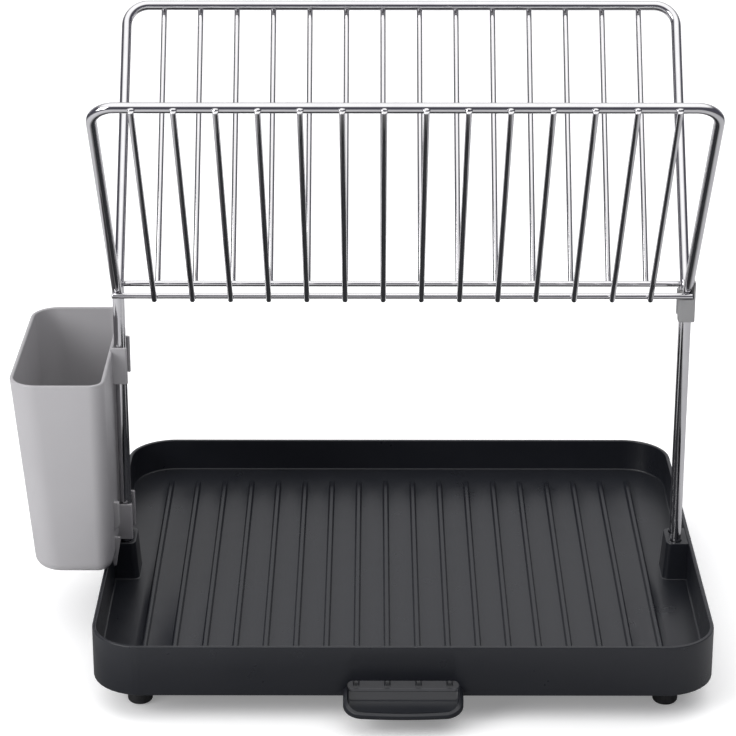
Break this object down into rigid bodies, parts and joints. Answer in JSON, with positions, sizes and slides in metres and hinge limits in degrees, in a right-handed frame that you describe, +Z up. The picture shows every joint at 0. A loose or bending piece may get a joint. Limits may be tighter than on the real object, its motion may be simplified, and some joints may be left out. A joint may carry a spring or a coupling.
{
  "type": "two-tier dish drying rack",
  "caption": "Two-tier dish drying rack: a ribbed draining tray with a front spout, a Y-shaped chrome wire rack that lifts out, and a hook-on cutlery holder.",
  "frame": {"origin": "on the surface the feet stand on, under the centre of the whole rack's box, spout and cutlery holder included", "axes": "+X towards the side without the cutlery holder, +Y towards the back (the spout points to -Y), +Z up"},
  "size_m": [0.5206, 0.414, 0.4538],
  "materials": {
    "charcoal_plastic": "fine matt moulded polypropylene",
    "grey_plastic": "satin moulded plastic",
    "clip_plastic": "satin moulded plastic",
    "chrome_rod": "bright chrome-plated steel rod",
    "foot_rubber": "matt rubber"
  },
  "bodies": {
    "base": {"tray": "charcoal_plastic", "drain_spout": "charcoal_plastic", "foot_front_left": "foot_rubber", "foot_front_right": "foot_rubber", "foot_back_left": "foot_rubber", "foot_back_right": "foot_rubber"},
    "rack": {"front_hoop": "chrome_rod", "back_hoop": "chrome_rod", "front_bar": "chrome_rod", "back_bar": "chrome_rod", "frame_link": "chrome_rod", "front_wire_01": "chrome_rod", "front_wire_02": "chrome_rod", "front_wire_03": "chrome_rod", "front_wire_04": "chrome_rod", "front_wire_05": "chrome_rod", "front_wire_06": "chrome_rod", "front_wire_07": "chrome_rod", "front_wire_08": "chrome_rod", "front_wire_09": "chrome_rod", "front_wire_10": "chrome_rod", "front_wire_11": "chrome_rod", "front_wire_12": "chrome_rod", "front_wire_13": "chrome_rod", "front_wire_14": "chrome_rod", "back_wire_01": "chrome_rod", "back_wire_02": "chrome_rod", "back_wire_03": "chrome_rod", "back_wire_04": "chrome_rod", "back_wire_05": "chrome_rod", "back_wire_06": "chrome_rod", "back_wire_07": "chrome_rod", "back_wire_08": "chrome_rod", "back_wire_09": "chrome_rod", "back_wire_10": "chrome_rod", "back_wire_11": "chrome_rod", "back_wire_12": "chrome_rod", "back_wire_13": "chrome_rod", "back_wire_14": "chrome_rod"},
    "clip": {"frame_clip": "clip_plastic"},
    "holder": {"cutlery_holder": "grey_plastic"}
  },
  "joints": [
    {"name": "rack_lift", "type": "slide", "parent": "base", "child": "rack", "axis": [0, 0, 1], "range_m": [0, 0.06]},
    {"name": "holder_slide", "type": "slide", "parent": "rack", "child": "holder", "axis": [0, 0, 1], "range_m": [0, 0.038]},
    {"name": "clip_slide", "type": "slide", "parent": "rack", "child": "clip", "axis": [0, 0, -1], "range_m": [0, 0.18]}
  ]
}
